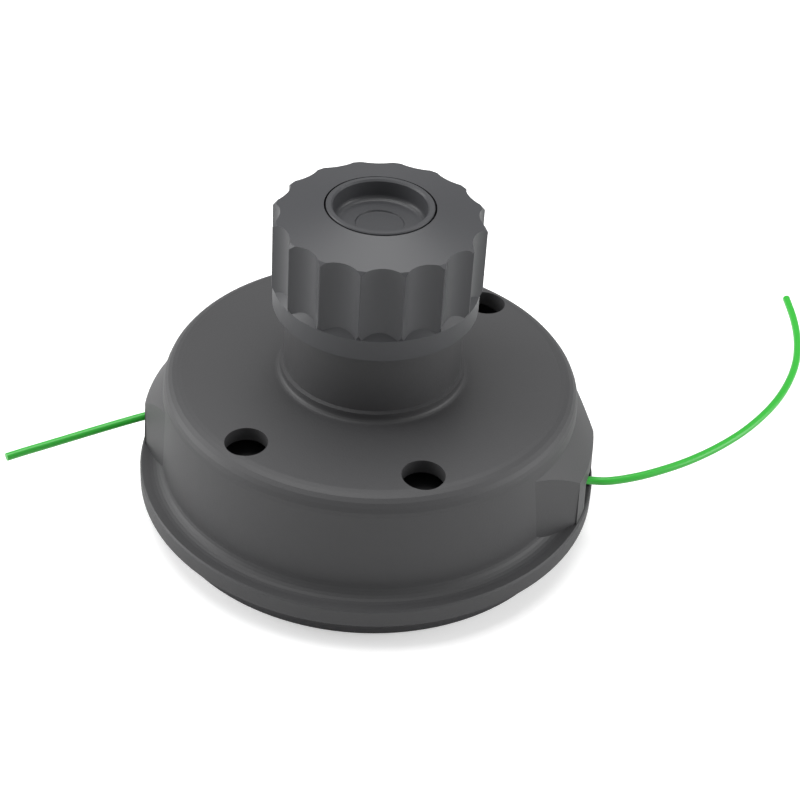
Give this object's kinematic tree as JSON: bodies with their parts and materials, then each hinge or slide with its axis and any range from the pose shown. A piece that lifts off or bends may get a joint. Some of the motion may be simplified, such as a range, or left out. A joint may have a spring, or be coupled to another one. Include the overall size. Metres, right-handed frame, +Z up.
{
  "type": "trimmer head",
  "caption": "Manual-feed twin-line trimmer head: domed drum with flanged rim, side line windows, neck and fluted clamp knob, spool and green line inside.",
  "frame": {"origin": "on the spin axis, in the plane that the base cover's skirt stands on", "axes": "+Z up the spin axis towards the knob, +X out of one line window and -X out of the other"},
  "size_m": [0.186, 0.151, 0.085],
  "materials": {
    "housing_plastic": "fine-grained black glass-filled nylon",
    "cover_plastic": "plain moulded black nylon",
    "knob_plastic": "satin black nylon",
    "spool_plastic": "dark grey nylon",
    "nylon_line": "green extruded nylon line",
    "steel": "zinc-plated turned steel",
    "spring_steel": "drawn spring wire"
  },
  "bodies": {
    "drum": {"housing": "housing_plastic", "base_cover": "cover_plastic", "arbor": "steel", "spool_washer": "steel", "spring_washer": "steel", "spool_spring": "spring_steel", "line_right": "nylon_line", "line_left": "nylon_line"},
    "spool": {"spool": "spool_plastic", "line_winding_lower": "nylon_line", "line_winding_upper": "nylon_line"},
    "thrust": {"thrust_washer": "steel"},
    "knob": {"knob": "knob_plastic", "knob_nut": "steel", "knob_cap": "knob_plastic"}
  },
  "joints": [
    {"name": "spool_turn", "type": "hinge", "parent": "drum", "child": "spool", "pos_m": [0, 0, 0.022], "axis": [0, 0, 1], "continuous": true},
    {"name": "knob_lift", "type": "slide", "parent": "drum", "child": "thrust", "axis": [0, 0, 1], "range_m": [0, 0.0038]},
    {"name": "knob_turn", "type": "hinge", "parent": "thrust", "child": "knob", "pos_m": [0, 0, 0.07], "axis": [0, 0, 1], "range_deg": [0, 1080]}
  ],
  "couplings": [
    {"joint": "knob_lift", "follows": "knob_turn", "m_per_rad": 0.00019894}
  ]
}
